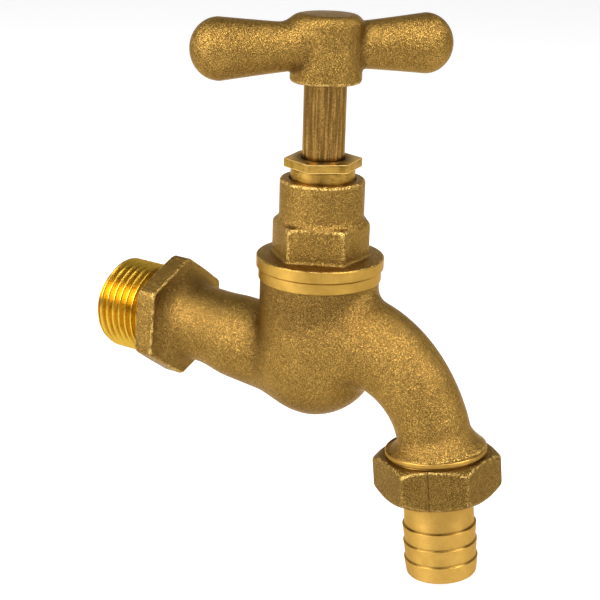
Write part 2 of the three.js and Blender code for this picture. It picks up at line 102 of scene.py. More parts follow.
NUT_TOP, NUT_BOTTOM, NUT_FLAT, NUT_TURN = 0.2, 9.2, 11.7, math.radians(27.3)
NUT_THREAD_DEPTH, NUT_LIP_TOP, NUT_LIP_BORE_R = 5.6, 7.7, 7.95
TAIL_COLLAR_R, TAIL_COLLAR_TOP, TAIL_COLLAR_BOTTOM = 9.2, 5.9, 7.4
TAIL_NECK_R, TAIL_RIDGE_R, TAIL_VALLEY_R, TAIL_BORE_R = 7.33, 7.77, 7.45, 5.25
FIRST_RIDGE, RIDGE_PITCH, TAIL_END, TAIL_END_R = 15.7, 3.7, 26.72, 7.1

# The tap's own frame in the row frame, from where the CAD's spindle stands.
_low, _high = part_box("spindle")
ORIGIN = np.array([(_low.x + _high.x) / 2, (_low.y + _high.y) / 2, _low.z]) / MM
ORIGIN[2] -= SPINDLE_BOTTOM


# ---------------------------------------------------------------- places

class Place:
    """A right-handed frame inside the tap's own frame."""

    def __init__(self, origin, x, y, z):
        self.origin = np.array(origin, float)
        self.axes = np.array([x, y, z], float)

    def out(self, points):
        return self.origin + points @ self.axes

    def into(self, points):
        return (points - self.origin) @ self.axes.T


UPRIGHT = Place((0, 0, 0), (1, 0, 0), (0, 1, 0), (0, 0, 1))
INLET = Place((INLET_X, 0, INLET_Z), (0, 0, 1), (0, 1, 0), (-1, 0, 0))
OUTLET = Place((BEND_X + BEND_R * math.cos(TILT), 0, BEND_Z + BEND_R * math.sin(TILT)),
               (math.cos(TILT), 0, math.sin(TILT)), (0, 1, 0), (-math.sin(TILT), 0, math.cos(TILT)))


class Bend:
    """Heights run up the spout from the outlet rim's lower edge."""

    @staticmethod
    def out(points):
        along, below = np.maximum(points[:, 2], 0), np.minimum(points[:, 2], 0)
        angle, reach = TILT + along / BEND_R, BEND_R + points[:, 0]
        return np.stack([BEND_X + reach * np.cos(angle) - below * np.sin(angle), points[:, 1],
                         BEND_Z + reach * np.sin(angle) + below * np.cos(angle)], 1)


def sinking(drop, length, depth):
    """A place whose Z runs left from the spindle axis, `depth` below the datum there.

    It rises by `drop` over `length`.
    """
    a = math.atan(drop / length)
    return Place((0, 0, -depth), (math.sin(a), 0, math.cos(a)), (0, 1, 0), (-math.cos(a), 0, math.sin(a)))


PIPE = sinking(PIPE_DROP, -INLET_X - INLET_HEX_LENGTH + 1, PIPE_DROP - INLET_Z)
BELLY = sinking(BELLY_DROP, BELLY_START, BELLY_DEPTH)


# ---------------------------------------------------------------- distance fields

def smooth_min(a, b, k):
    h = np.clip(0.5 + 0.5 * (b - a) / k, 0, 1)
    return b + (a - b) * h - k * h * (1 - h)


def smooth_max(a, b, k):
    return -smooth_min(-a, -b, k)


def smooth_step(low, high, x):
    t = np.clip((x - low) / (high - low), 0, 1)
    return t * t * (3 - 2 * t)


def rounded_prism(across, normals, offsets, k):
    """Distance to a convex prism's sides, with its long edges rounded over."""
    d = None
    for (nx, ny), offset in zip(normals, offsets):
        plane = across[:, 0] * nx + across[:, 1] * ny - offset
        d = plane if d is None else smooth_max(d, plane, k)
    return d


def hexagon_normals(first_corner):
    return [(math.cos(first_corner + math.radians(30 + 60 * i)),
             math.sin(first_corner + math.radians(30 + 60 * i))) for i in range(6)]


def body_field(p):
    x, y, z = p.T
    shift = 0.45 * (1 - smooth_step(-1, 12, z))
    pot = np.sqrt((x - shift) ** 2 + y ** 2 + np.minimum(z - GLOBE_Z, 0) ** 2) - GLOBE_R
    q = PIPE.into(p)
    pipe = np.sqrt(q[:, 0] ** 2 + q[:, 1] ** 2 + np.minimum(q[:, 2] - 4, 0) ** 2) - PIPE_R
    q = BELLY.into(p)
    past = q[:, 2] - np.clip(q[:, 2], 2, BELLY_START - 4)
    belly = np.sqrt(q[:, 0] ** 2 + q[:, 1] ** 2 + past ** 2) - BELLY_R
    angle = np.arctan2(z - BEND_Z, x - BEND_X)
    angle = np.where(angle < -math.pi / 2, angle + 2 * math.pi, angle)
    held = np.clip(angle, TILT - 0.3, math.pi / 2)
    along = (held - TILT) * BEND_R
    u = np.clip((along - RIM_HEIGHT) / FLARE_HEIGHT, 0, 1)
    radius = SPOUT_R + 1.87 * smooth_step(7, 36, along)
    radius = radius + (RIM_R - SPOUT_R) * (1 - u) ** 1.7
    radius = np.where(along < RIM_HEIGHT, RIM_R - 0.15, radius)
    spout = np.sqrt((x - BEND_X - BEND_R * np.cos(held)) ** 2 + y ** 2
                    + (z - BEND_Z - BEND_R * np.sin(held)) ** 2) - radius
    q = INLET.into(p)
    flat = INLET_HEX_CORNER_R * math.cos(math.radians(30))
    hexagon = rounded_prism(q, hexagon_normals(INLET_HEX_TURN), [flat] * 6, 0.5)
    ends = np.maximum(q[:, 2], -INLET_HEX_LENGTH - q[:, 2])
    away = np.hypot(q[:, 0], q[:, 1])
    corners = away - INLET_HEX_CORNER_R + 0.15
    hexagon = smooth_max(smooth_max(hexagon, corners, 0.5), ends, 0.5)
    pipe = np.maximum(pipe, q[:, 2] + INLET_HEX_LENGTH - 1)
    d = smooth_min(pot, pipe, 1.8 + 3.0 * smooth_step(3, 8, np.abs(y)))
    d = smooth_min(d, belly, 4.5)
    d = smooth_min(d, spout, 2.6 + 4.5 * smooth_step(5.5, 10, np.abs(y)) * smooth_step(12, 5, z))
    d = smooth_min(d, hexagon, 4.5)
    d = np.maximum(d, q[:, 2])
    d = np.maximum(d, z - COLLAR_BOTTOM - 0.4)
    below = RIM_HEIGHT / 2 - OUTLET.into(p)[:, 2]
    return np.maximum(d, np.where(x > BEND_X + 8, below, -1e3))


def bonnet_field(p):
    x, y, z = p.T
    away = np.hypot(x, y)
    tube = smooth_max(away - BONNET_R, z - BONNET_TOP, 0.8)
    c, s = math.cos(BONNET_HEX_TURN), math.sin(BONNET_HEX_TURN)
    across = np.stack([c * x + s * y, c * y - s * x], 1)
    nx, ny = BONNET_HEX_FLAT, BONNET_HEX_SIDE - BONNET_HEX_HALF
    scale = math.hypot(nx, ny)
    nx, ny = nx / scale, ny / scale
    side = BONNET_HEX_SIDE * nx
    hexagon = rounded_prism(
        across, [(0, 1), (nx, ny), (nx, -ny), (0, -1), (-nx, -ny), (-nx, ny)],
        [BONNET_HEX_FLAT, side, side, BONNET_HEX_FLAT, side, side], 0.8)
    hexagon = smooth_max(hexagon, z - BONNET_HEX_TOP, 1.0)
    slope = FLANGE_TOP + 0.5 * (FLANGE_R - away) / (FLANGE_R - BONNET_R)
    flange = smooth_max(away - FLANGE_R + 0.02, z - slope, 0.35)
    d = smooth_min(tube, hexagon, 1.7)
    d = smooth_min(d, flange, 0.7)
    return np.maximum(d, FLANGE_TOP - 0.6 - z)


def handle_field(p):
    c, s = math.cos(HANDLE_TURN), math.sin(HANDLE_TURN)
    x, y, z = c * p[:, 0] + s * p[:, 1], c * p[:, 1] - s * p[:, 0], p[:, 2]
    away = np.hypot(x, y)
    a, b = away - (BOSS_R - BOSS_ROUND), z - (BOSS_TOP - BOSS_ROUND)
    boss = np.hypot(np.maximum(a, 0), np.maximum(b, 0)) + np.minimum(np.maximum(a, b), 0) - BOSS_ROUND
    boss = smooth_max(boss, BOSS_BOTTOM - z, 0.9)
    d = boss
    for side, length, k in ((1, SHORT_ARM, 1.3), (-1, LONG_ARM, 1.5 + 1.8 * smooth_step(-1, 4, z - ARM_Z))):
        along = side * x
        past = np.maximum(along - length, 0) / BALL_FLATTENING
        taper = np.clip((along - ARM_ROOT) / (length - ARM_ROOT), 0, 1)
        radius = ARM_ROOT_R + (BALL_R - ARM_ROOT_R) * taper ** 1.15
        arm = np.sqrt(y ** 2 + (z - ARM_Z) ** 2 + past ** 2) - radius
        arm = np.maximum(arm, -along)
        d = smooth_min(d, arm, k)
    return np.maximum(d, BOSS_BOTTOM - z)


def nut_field(p):
    q = OUTLET.into(p)
    away, z = np.hypot(q[:, 0], q[:, 1]), q[:, 2]
    d = rounded_prism(q, hexagon_normals(NUT_TURN), [NUT_FLAT] * 6, 0.7)
    top = ((away - NUT_FLAT + 0.1) * 1.0 + (z + NUT_TOP) * 1.6) / math.hypot(1.0, 1.6)
    bottom = ((away - NUT_FLAT + 0.8) * 1.7 - (z + NUT_BOTTOM) * 2.6) / math.hypot(1.7, 2.6)
    d = smooth_max(d, top, 0.4)
    d = smooth_max(d, bottom, 0.7)
    d = smooth_max(d, z + NUT_TOP, 0.3)
    return smooth_max(d, -NUT_BOTTOM - z, 0.5)


# ---------------------------------------------------------------- meshes from fields

def in_chunks(field, points, size=400_000):
    return np.concatenate([field(points[i:i + size]) for i in range(0, len(points), size)])


def gradient(field, points, h=0.01):
    g = np.empty_like(points)
    for axis in range(3):
        step = np.zeros(3)
        step[axis] = h
        g[:, axis] = (field(points + step) - field(points - step)) / (2 * h)
    return g


def surface_net(field, low, high, step):
    """The zero surface of a field as (points, quads), with its points settled on the surface."""
    axes = [np.arange(a, b + step, step) for a, b in zip(low, high)]
    n = [len(a) for a in axes]
    grid = np.stack(np.meshgrid(*axes, indexing="ij"), -1).reshape(-1, 3)
    v = in_chunks(field, grid).reshape(n)
    inside = v < 0
    total = np.zeros([m - 1 for m in n] + [3])
    count = np.zeros([m - 1 for m in n])
    crossings = []
    for axis in range(3):
        a = [slice(None)] * 3
        b = [slice(None)] * 3
        a[axis], b[axis] = slice(0, -1), slice(1, None)
        a, b = tuple(a), tuple(b)
        cross = inside[a] != inside[b]
        crossings.append(cross)
        with np.errstate(divide="ignore", invalid="ignore"):
            t = np.where(cross, v[a] / (v[a] - v[b]), 0)
        others = [i for i in range(3) if i != axis]
        for d0 in (0, 1):
            for d1 in (0, 1):
                s = [slice(None)] * 3
                s[others[0]] = slice(d0, n[others[0]] - 1 + d0)
                s[others[1]] = slice(d1, n[others[1]] - 1 + d1)
                c, tt = cross[tuple(s)], t[tuple(s)]
                count += c
                total[..., axis] += np.where(c, tt, 0)
                total[..., others[0]] += np.where(c, d0, 0)
                total[..., others[1]] += np.where(c, d1, 0)
    used = count > 0
    index = np.full(used.shape, -1)
    index[used] = np.arange(used.sum())
    cells = np.argwhere(used)
    points = np.array(low) + step * (cells + total[used] / count[used][:, None])
    quads = []
    for axis in range(3):
        e = np.argwhere(crossings[axis])
        o1, o2 = (axis + 1) % 3, (axis + 2) % 3
        e = e[(e[:, o1] > 0) & (e[:, o2] > 0) & (e[:, o1] < n[o1] - 1) & (e[:, o2] < n[o2] - 1)]
        start_inside = inside[tuple(e.T)]
        corner = []
        for d1, d2 in ((1, 1), (0, 1), (0, 0), (1, 0)):
            c = e.copy()
            c[:, o1] -= d1
            c[:, o2] -= d2
            corner.append(index[tuple(c.T)])
        q = np.stack(corner, 1)
        q[~start_inside] = q[~start_inside][:, ::-1]
        quads.append(q)
    quads = np.concatenate(quads)
    for turn in range(5):
        if turn:
            near, far = quads, np.roll(quads, -1, 1)
            mean, times = np.zeros_like(points), np.zeros(len(points))
            for one, other in ((near, far), (far, near)):
                np.add.at(mean, one.ravel(), points[other.ravel()])
                np.add.at(times, one.ravel(), 1)
            mean = mean / times[:, None] - points
            g = gradient(field, points)
            g /= np.linalg.norm(g, axis=1)[:, None]
            points = points + 0.5 * (mean - g * np.sum(mean * g, 1)[:, None])
        for _ in range(2):
            g = gradient(field, points)
            d = field(points)[:, None] / np.maximum(np.sum(g * g, 1), 0.05)[:, None]
            points = points - np.clip(g * d, -step / 2, step / 2)
    return points, quads


def lathe(profile, place=UPRIGHT, sides=96, closed=False, shape=None):
    """A turned mesh from [radius, height] points, as (points, faces).

    shape(radius, height, angle) may vary the radius.
    """
    angle = np.arange(sides) * 2 * math.pi / sides
    points, rings = [], []
    for r, z in profile:
        if r < 1e-6:
            rings.append([len(points)])
            points.append((0, 0, z))
            continue
        radius = shape(r, z, angle) if shape else np.full(sides, r)
        rings.append(list(range(len(points), len(points) + sides)))
        points.extend(zip(radius * np.cos(angle), radius * np.sin(angle), [z] * sides))
    faces = []
    pairs = list(zip(rings, rings[1:])) + ([(rings[-1], rings[0])] if closed else [])
    for a, b in pairs:
        for i in range(sides):
            j = (i + 1) % sides
            if len(a) == 1 and len(b) == 1:
                break
            if len(a) == 1:
                faces.append((a[0], b[j], b[i]))
            elif len(b) == 1:
                faces.append((a[i], a[j], b[0]))
            else:
                faces.append((a[i], a[j], b[j], b[i]))
    return outward(place.out(np.array(points, float)), faces)


def outward(points, faces):
    """The same closed mesh with its faces turned to point out."""
    volume = 0.0
    for f in faces:
        for i in range(1, len(f) - 1):
            volume += np.dot(points[f[0]], np.cross(points[f[i]], points[f[i + 1]]))
    return points, (faces if volume > 0 else [f[::-1] for f in faces])


def bar(radius, bottom, top, place=UPRIGHT, sides=96):
    return lathe([(0, bottom), (radius, bottom), (radius, top), (0, top)], place, sides)


def prism(corners, bottom, top, place=UPRIGHT):
    n = len(corners)
    points = np.array([(x, y, z) for z in (bottom, top) for x, y in corners], float)
    faces = [tuple(range(n))[::-1], tuple(range(n, 2 * n))]
    faces += [(i, (i + 1) % n, (i + 1) % n + n, i + n) for i in range(n)]
    return outward(place.out(points), faces)


def thread_profile(start, end, step=0.12):
    return list(np.linspace(start, end, max(2, round((end - start) / step) + 1)))


def thread(major, minor, pitch, start, end, phase=0.0, crest=0.14, runout=0.9, lead=0.8):
    """A radius for a right-hand thread: its crest follows the helix, and it fades at both ends."""
    def shape(r, z, angle):
        if r != major or z < start - 1e-6 or z > end + 1e-6:
            return np.full(len(angle), r)
        turn = (z / pitch - angle / (2 * math.pi) + phase) % 1
        off = np.abs(turn - 0.5) * 2  # 1 at the crest, 0 in the root
        rise = np.clip((off - crest) / (1 - 2 * crest), 0, 1)
        rise = rise * rise * (3 - 2 * rise) * 0.35 + rise * 0.65
        radius = minor + (major - minor) * rise
        if end - z < lead:
            radius = np.minimum(radius, major - (lead - (end - z)) * 0.9)
        if z - start < runout:
            t = (z - start) / runout
            radius = radius * t + (minor + 0.25 * (major - minor)) * (1 - t)
        return radius
    return shape


# ---------------------------------------------------------------- objects and booleans

def mesh_object(name, geometry, *materials):
    points, faces = geometry
    mesh = bpy.data.meshes.new(name)
    mesh.from_pydata(((points + ORIGIN) * MM).tolist(), [], [tuple(int(i) for i in f) for f in faces])
    for m in materials:
        mesh.materials.append(m)
    mesh.update()
    piece = bpy.data.objects.new(name, mesh)
    bpy.context.scene.collection.objects.link(piece)
    return piece


def cut_and_join(piece, steps):
    """Joins or cuts meshes in turn; their faces keep their own materials."""
    for operation, geometry, material in steps:
        tool = mesh_object("tool", geometry, material)
        change = piece.modifiers.new("change", "BOOLEAN")
        change.operation = operation
        change.solver = "MANIFOLD"
        change.material_mode = "TRANSFER"
        change.object = tool
        evaluated = piece.evaluated_get(bpy.context.evaluated_depsgraph_get())
        made = bpy.data.meshes.new_from_object(evaluated)
        piece.modifiers.clear()
        old, piece.data = piece.data, made
        bpy.data.meshes.remove(old)
        bpy.data.objects.remove(tool)
    return piece


def bending(field, points, reach):
    """How far the surface bends away within `reach`, per mm: above 0 on edges, below 0 in hollows."""
    g = gradient(field, points)
    slope = np.maximum(np.linalg.norm(g, axis=1), 0.05)
    g /= slope[:, None]
    across = np.cross(g, np.where(np.abs(g[:, 2:]) < 0.8, (0, 0, 1), (1, 0, 0)))
    across /= np.linalg.norm(across, axis=1)[:, None]
    total = -4 * field(points)
    for step in (across, -across, np.cross(g, across), -np.cross(g, across)):
        total += field(points + step * reach)
    return total / slope / reach ** 2


def body_painted_shade(p):
    """Painted shade on the neck under the collar, the pipe's root by the neck and the globe's underside,
    where shade falls.
    """
    x, y, z = p.T
    turn = math.radians(34)
    right = x * math.cos(turn) + y * math.sin(turn)
    neck = 0.5 * smooth_step(3, 10, z) * smooth_step(11, 3, right) * smooth_step(-19, -13, x)
    root = 0.7 * smooth_step(17, 12.6, np.hypot(x, y)) * smooth_step(-4, -9, x) * smooth_step(-9, -3, z)
    under = 0.55 * smooth_step(-3, -11, z) * smooth_step(20, 12, x)
    return np.maximum(np.maximum(neck, root), under)


SHARP_ANGLE = math.radians(32)
EDGE_REACH, FULL_EDGE = 0.4, 1.6  # mm, and the bend per mm that counts as fully worn
# Hollows found within this reach get painted shade, lighter on the body and the bonnet.
CAVITY_REACH, FULL_CAVITY = 2.2, 0.38  # the same for hollows
BODY_CAVITY, BONNET_CAVITY = 0.55, 0.85  # softer hollows on these two castings


def finish_piece(piece, node, body, field=None, full_cavity=FULL_CAVITY, more_shade=None):
    """Shading, a wear measure and a painted-shade measure for hollows and other shaded places, and the
    piece's place in the frame.
    """
    mesh = piece.data
    cast_slots = {i for i, m in enumerate(mesh.materials) if m and m.name.startswith("cast_brass")}
    bm = bmesh.new()
    bm.from_mesh(mesh)
    bmesh.ops.remove_doubles(bm, verts=bm.verts, dist=1e-7)
    threads = {i for i, m in enumerate(mesh.materials) if m and m.name.endswith("thread")}
    for f in bm.faces:
        f.smooth = True
    for e in bm.edges:
        if len(e.link_faces) != 2:
            continue
        a, b = e.link_faces
        both_cast = a.material_index in cast_slots and b.material_index in cast_slots
        if a.material_index != b.material_index or not both_cast:
            on_thread = {a.material_index, b.material_index} <= threads
            e.smooth = e.calc_face_angle(0) < SHARP_ANGLE * (2 if on_thread else 1)
    bm.to_mesh(mesh)
    bm.free()
    if field is not None:
        co = np.zeros(len(mesh.vertices) * 3)
        mesh.vertices.foreach_get("co", co)
        p = co.reshape(-1, 3) / MM - ORIGIN
        edge = np.clip(bending(field, p, EDGE_REACH) / FULL_EDGE, 0, 1)
        # Painted shade: colour darkened in the hollows, where shade would fall.
        painted_shade = np.clip(-bending(field, p, CAVITY_REACH) / full_cavity, 0, 1)
        # Extra painted shade where the given function darkens the piece.
        if more_shade:
            painted_shade = np.maximum(painted_shade, more_shade(p))
        for name, value in (("edge", edge), ("painted_shade", painted_shade)):
            mesh.attributes.new(name, "FLOAT", "POINT").data.foreach_set("value", value.astype(np.float32))
    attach(piece, body)
    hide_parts(node)
    return piece


# ---------------------------------------------------------------- materials

class Nodes:
    """A short way to write a node tree."""

    def __init__(self, name):
        self.material = bpy.data.materials.new(name)
        self.material.use_nodes = True
        self.tree = self.material.node_tree
        self.tree.nodes.clear()

    def add(self, kind, inputs=None, **settings):
        node = self.tree.nodes.new("ShaderNode" + kind)
        for key, value in settings.items():
            setattr(node, key, value)
        for key, value in (inputs or {}).items():
            self.plug(node, key, value)
        return node

    def plug(self, node, key, value):
        socket = node.inputs[key]
        if isinstance(value, bpy.types.NodeSocket):
            self.tree.links.new(value, socket)
        elif value is not None:
            socket.default_value = value

    def math(self, operation, a, b=None, c=None):
        inputs = {i: v for i, v in enumerate((a, b, c)) if v is not None}
        return self.add("Math", inputs, operation=operation).outputs[0]

    def ramp(self, value, low, high, to_low=0.0, to_high=1.0):
        return self.add("MapRange", {"Value": value, "From Min": low, "From Max": high,
                                     "To Min": to_low, "To Max": to_high}).outputs[0]

    def mix(self, factor, a, b, blend="MIX"):
        node = self.add("Mix", data_type="RGBA", blend_type=blend)
        for key, value in ((0, factor), (6, a), (7, b)):
            if isinstance(value, tuple):
                value = (*value, 1) if len(value) == 3 else value
            self.plug(node, key, value)
        return node.outputs[2]

    def place(self, scale=(1, 1, 1), rotation=(0, 0, 0)):
        """Millimetres in the piece's own frame, turned and then scaled."""
        where = self.add("TexCoord").outputs["Object"]
        mm = self.add("VectorMath", {0: where, 1: (1000, 1000, 1000)}, operation="MULTIPLY").outputs[0]
        turned = self.add("Mapping", {"Vector": mm, "Rotation": rotation}, vector_type="POINT").outputs[0]
        return self.add("VectorMath", {0: turned, 1: scale}, operation="MULTIPLY").outputs[0]

    def noise(self, where, scale, detail=2.0, roughness=0.5, distortion=0.0):
        return self.add("TexNoise", {"Vector": where, "Scale": scale, "Detail": detail,
                                     "Roughness": roughness, "Distortion": distortion}).outputs[0]

    def attribute(self, name):
        return self.add("Attribute", attribute_name=name, attribute_type="GEOMETRY").outputs["Fac"]

    def bump(self, height, distance, strength):
        return self.add("Bump", {"Height": height, "Distance": distance, "Strength": strength}).outputs[0]

    def finish(self, **inputs):
        """A principled shader; brass keeps its colour at grazing angles."""
        shader = self.add("BsdfPrincipled")
        if inputs.get("Metallic"):
            inputs["Specular_Tint"] = (0.84, 0.70, 0.52, 1)
        for key, value in inputs.items():
            self.plug(shader, key.replace("_", " "), value)
        out = self.add("OutputMaterial")
        self.tree.links.new(shader.outputs[0], out.inputs["Surface"])
        return self.material


CAST_LIGHT = (0.50, 0.300, 0.070)
CAST_MID = (0.212, 0.119, 0.027)
CAST_DARK = (0.122, 0.067, 0.016)
WORN = (0.66, 0.43, 0.125)


def cast_material(name, shade=1.0, seam=None):
    """Sand-cast, tumbled brass: sparkling grain, painted shade in the hollows, worn bright on the edges."""
    n = Nodes(name)
    where = n.place()
    grain = n.noise(where, 4.6, 1.0, 0.5, 0.2)
    fine = n.noise(where, 7.0, 1.0, 0.5)
    patch = n.noise(where, 0.9, 2.0, 0.6)
    cloud = n.noise(where, 0.13, 3.0, 0.6, 0.4)
    painted_shade, edge = n.attribute("painted_shade"), n.attribute("edge")
    speck = n.math("ADD", n.math("MULTIPLY", n.ramp(grain, 0.38, 0.62), 0.62),
                   n.math("MULTIPLY", n.ramp(fine, 0.36, 0.64), 0.38))
    broad = n.math("ADD", n.ramp(patch, 0.3, 0.7, -0.06, 0.06), n.ramp(cloud, 0.3, 0.7, -0.08, 0.08))
    tone = n.math("ADD", speck, broad)
    colour = n.mix(n.ramp(tone, 0.08, 0.45), CAST_DARK, CAST_MID)
    colour = n.mix(n.ramp(tone, 0.50, 1.0), colour, CAST_LIGHT)
    # Painted shade: hollows and other shaded places are multiplied darker.
    colour = n.mix(n.ramp(painted_shade, 0.05, 0.9), colour, (0.54, 0.51, 0.56), "MULTIPLY")
    broken = n.math("ADD", n.math("MULTIPLY", patch, 0.6), n.math("MULTIPLY", grain, 0.5))
    worn = n.math("MULTIPLY", n.ramp(edge, 0.36, 0.72, 0.0, 0.95), n.ramp(broken, 0.49, 0.61))
    colour = n.mix(worn, colour, WORN)
    # A shade below 1 darkens the whole material: painted shade for a piece that sits in less light.
    if shade != 1.0:
        colour = n.mix(1.0, colour, (shade, shade, shade), "MULTIPLY")
    height = n.math("ADD", grain, n.math("MULTIPLY", fine, 0.5))
    height = n.math("ADD", height, n.math("MULTIPLY", patch, 0.6))
    if seam:
        normal, offset = seam
        side = n.add("VectorMath", {0: n.place(), 1: normal}, operation="DOT_PRODUCT").outputs["Value"]
        near = n.math("ABSOLUTE", n.math("SUBTRACT", side, offset))
        line = n.ramp(near, 0.02, 0.25, 1.0, 0.0)
        colour = n.mix(n.math("MULTIPLY", line, 0.8), colour, (0.07, 0.038, 0.010))
        height = n.math("SUBTRACT", height, n.math("MULTIPLY", line, 0.4))
    rough = n.math("SUBTRACT", n.ramp(speck, 0.1, 0.9, 0.42, 0.24), n.math("MULTIPLY", worn, 0.05))
    return n.finish(Base_Color=colour, Metallic=1.0, Roughness=rough, Normal=n.bump(height, 0.00015, 1.0))


def turned_material(name, light, dark, place=UPRIGHT, lean=(0, 0, 0), roughness=0.36, tarnish=0.25,
                    shade_steps=False, drawn_out=0.85, painted_shade_radius=None, tooth=0.8):
    """Brass off the lathe: tool lines round the axis, which draw its highlights out along it.

    The hose tail's steps can be darkened with painted shade, and a ring of painted shade can start from a
    given radius.
    """
    n = Nodes(name)
    lines = n.noise(n.place((0.35, 0.35, 26), lean), 1.0, 3.0, 0.7)
    arcs = n.noise(n.place((0.7, 0.7, 7), lean), 1.0, 2.0, 0.6)
    blotch = n.noise(n.place(), 0.35, 3.0, 0.6, 0.5)
    grit = n.noise(n.place(), 4.0, 1.0, 0.5)
    tone = n.math("ADD", n.math("MULTIPLY", n.ramp(lines, 0.3, 0.7), 0.5),
                  n.math("MULTIPLY", n.ramp(blotch, 0.35, 0.7), 0.5))
    colour = n.mix(n.ramp(tone, 0.15, 0.85), dark, light)
    spots = n.math("MULTIPLY", n.ramp(n.math("MULTIPLY", blotch, grit), 0.30, 0.40), tarnish)
    colour = n.mix(spots, colour, (0.30, 0.165, 0.04))
    height = n.math("ADD", n.math("MULTIPLY", lines, 0.6), n.math("MULTIPLY", arcs, 0.4))
    rough = n.math("ADD", n.ramp(lines, 0.3, 0.7, -0.05, 0.06),
                   n.ramp(blotch, 0.3, 0.7, roughness - 0.04, roughness + 0.06))
    axis = tuple(place.axes[2].tolist())
    centre = tuple((place.origin + ORIGIN).tolist())
    away = n.add("VectorMath", {0: n.place(), 1: centre}, operation="SUBTRACT").outputs[0]
    # Painted shade: a dark ring at each barb step of the hose tail, where the upward shelf sits in shade.
    if shade_steps:
        along = n.add("VectorMath", {0: away, 1: axis}, operation="DOT_PRODUCT").outputs["Value"]
        down = n.math("SUBTRACT", n.math("MULTIPLY", along, -1.0), FIRST_RIDGE - 0.22)
        steps = n.math("DIVIDE", down, RIDGE_PITCH)
        from_step = n.math("ABSOLUTE", n.math("SUBTRACT", steps, n.math("ROUND", steps)))
        inside = n.math("MULTIPLY", n.ramp(steps, -0.3, -0.2), n.ramp(steps, 2.2, 2.3, 1.0, 0.0))
        step_shade = n.math("MULTIPLY", n.ramp(from_step, 0.035, 0.075, 0.6, 0.0), inside)
        colour = n.mix(step_shade, colour, (0.13, 0.072, 0.014))
    # Painted shade: the plate's top darkens in a ring round the stem, where the stem shades it and shows in
    # its reflection.
    if painted_shade_radius:
        out_from = n.add("VectorMath", {0: away, 1: (1, 1, 0)}, operation="MULTIPLY").outputs[0]
        radial = n.add("VectorMath", {0: out_from}, operation="LENGTH").outputs["Value"]
        colour = n.mix(n.ramp(radial, painted_shade_radius + 0.7, painted_shade_radius + 2.3, 0.88, 0.0), colour, (0.075, 0.040, 0.010))
        rough = n.math("ADD", rough, n.ramp(radial, painted_shade_radius + 0.7, painted_shade_radius + 2.3, 0.25, 0.0))
    round_it = n.add("VectorMath", {0: axis, 1: away}, operation="CROSS_PRODUCT").outputs[0]
    tangent = n.add("VectorTransform", {0: round_it}, vector_type="VECTOR",
                    convert_from="OBJECT", convert_to="WORLD")
    return n.finish(Base_Color=colour, Metallic=1.0, Roughness=rough, Anisotropic=drawn_out,
                    Anisotropic_Rotation=0.25, Tangent=tangent.outputs[0],
                    Normal=n.bump(height, 0.00006, tooth))


def stem_material():
    """Drawn brass bar: faint streaks along its length, dulled by handling."""
    n = Nodes("stem_brass_drawn")
    streak = n.noise(n.place((2.2, 2.2, 0.10)), 1.0, 3.0, 0.65)
    grit = n.noise(n.place(), 3.0, 2.0, 0.6)
    tone = n.math("ADD", n.math("MULTIPLY", n.ramp(streak, 0.32, 0.68), 0.65),
                  n.math("MULTIPLY", n.ramp(grit, 0.3, 0.7), 0.35))
    colour = n.mix(n.ramp(tone, 0.1, 0.6), (0.085, 0.044, 0.011), (0.205, 0.110, 0.027))
    colour = n.mix(n.ramp(tone, 0.55, 0.95), colour, (0.42, 0.238, 0.062))
    height = n.math("ADD", n.math("MULTIPLY", streak, 0.6), n.math("MULTIPLY", grit, 0.4))
    return n.finish(Base_Color=colour, Metallic=1.0, Roughness=n.ramp(tone, 0, 1, 0.34, 0.20),
                    Normal=n.bump(height, 0.00006, 0.5))


def dull_material(name, light, dark, roughness, scale):
    """Fibre, graphite or rubber, and the near-black painted shade in the gland's gaps: mottled, with a fine
    tooth.
    """
    n = Nodes(name)
    spots = n.noise(n.place(), scale, 4.0, 0.65)
    colour = n.mix(n.ramp(spots, 0.35, 0.65), dark, light)
    rough = n.ramp(spots, 0.3, 0.7, roughness - 0.08, roughness + 0.06)
    return n.finish(Base_Color=colour, Metallic=0.0, Roughness=rough, Normal=n.bump(spots, 0.00008, 0.5))


OUTLET_TURN = (0, TILT, 0)
NUT_FACE = NUT_TURN - math.pi / 2
SEAM = (-math.sin(NUT_FACE) * OUTLET.axes[0] + math.cos(NUT_FACE) * OUTLET.axes[1]).tolist()
CAST = cast_material("cast_brass_grain")
# The nut's copy is darkened to 0.69 as painted shade; its seam line is a real casting mark.
CAST_NUT_SHADED = cast_material("cast_brass_nut_shaded", 0.69, (SEAM, float(np.dot(SEAM, OUTLET.origin + ORIGIN)) - 1.2))
TURNED = turned_material("turned_brass", (0.55, 0.330, 0.068), (0.38, 0.218, 0.041))
TURNED_OUTLET = turned_material("turned_brass_outlet", (0.57, 0.338, 0.075), (0.42, 0.238, 0.048),
                                OUTLET, OUTLET_TURN)
TAIL_BRASS = turned_material("turned_brass_tail", (0.58, 0.346, 0.078), (0.43, 0.247, 0.050),
                             OUTLET, OUTLET_TURN, shade_steps=True)
THREADED = turned_material("turned_brass_thread", (0.68, 0.430, 0.053), (0.50, 0.300, 0.034), INLET,
                           (0, math.pi / 2, 0), 0.27, drawn_out=0.2, tooth=0.2)
GLAND_BRASS = turned_material("turned_brass_gland", (0.58, 0.35, 0.072), (0.22, 0.120, 0.020),
                              roughness=0.28, tarnish=0.5, painted_shade_radius=STEM_R)
# A brighter copy of turned brass, used only as a painted highlight on the gland nut's top and bottom bevels.
BEVEL_HIGHLIGHT = turned_material("turned_brass_bevel_highlight", (0.86, 0.58, 0.20), (0.70, 0.45, 0.13), roughness=0.3)
